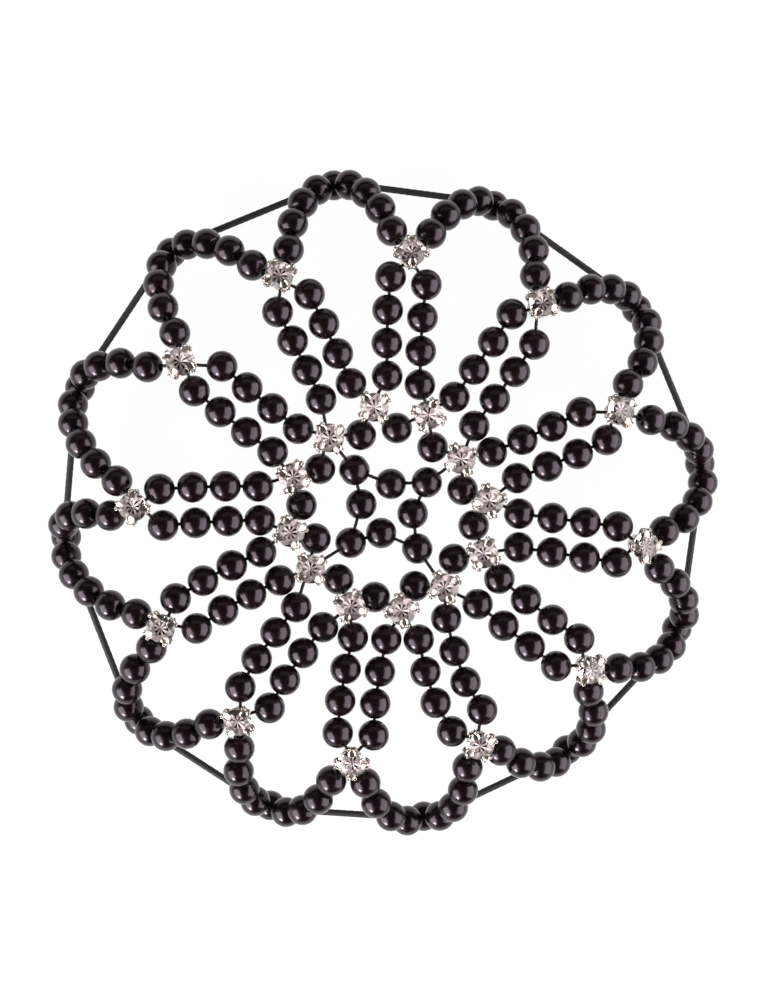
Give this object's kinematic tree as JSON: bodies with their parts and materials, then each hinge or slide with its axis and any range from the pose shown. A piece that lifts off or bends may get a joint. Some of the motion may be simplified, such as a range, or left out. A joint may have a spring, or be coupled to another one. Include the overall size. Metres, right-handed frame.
{
  "type": "bun net",
  "caption": "Domed net of strung round beads with claw-set stones in two rings, in petals drawn in by an elastic at the rim; it is worn over a hair bun.",
  "frame": {"origin": "middle of the elastic's ring at the rim, level with the elastic", "axes": "+Z out of the dome's crown, away from the head; +X is to the right and +Y is up as the net is seen from outside"},
  "size_m": [0.0886, 0.0881, 0.0214],
  "materials": {
    "bead": "pearl gloss",
    "setting": "polished",
    "stone": "faceted, foiled back",
    "elastic": "braided"
  },
  "bodies": {
    "root": {"petal_01": "bead", "petal_02": "bead", "petal_03": "bead", "petal_04": "bead", "petal_05": "bead", "petal_06": "bead", "petal_07": "bead", "petal_08": "bead", "petal_09": "bead", "petal_10": "bead", "petal_11": "bead", "petal_12": "bead", "spoke_01": "bead", "spoke_02": "bead", "spoke_03": "bead", "spoke_04": "bead", "spoke_05": "bead", "spoke_06": "bead", "spoke_07": "bead", "spoke_08": "bead", "spoke_09": "bead", "spoke_10": "bead", "spoke_11": "bead", "spoke_12": "bead", "outer_setting_01": "setting", "outer_setting_02": "setting", "outer_setting_03": "setting", "outer_setting_04": "setting", "outer_setting_05": "setting", "outer_setting_06": "setting", "outer_setting_07": "setting", "outer_setting_08": "setting", "outer_setting_09": "setting", "outer_setting_10": "setting", "outer_setting_11": "setting", "outer_setting_12": "setting", "inner_setting_01": "setting", "inner_setting_02": "setting", "inner_setting_03": "setting", "inner_setting_04": "setting", "inner_setting_05": "setting", "inner_setting_06": "setting", "inner_setting_07": "setting", "inner_setting_08": "setting", "inner_setting_09": "setting", "inner_setting_10": "setting", "inner_setting_11": "setting", "inner_setting_12": "setting", "outer_stones": "stone", "inner_stones": "stone", "ring_beads": "bead", "centre_beads": "bead", "elastic": "elastic"}
  },
  "joints": []
}
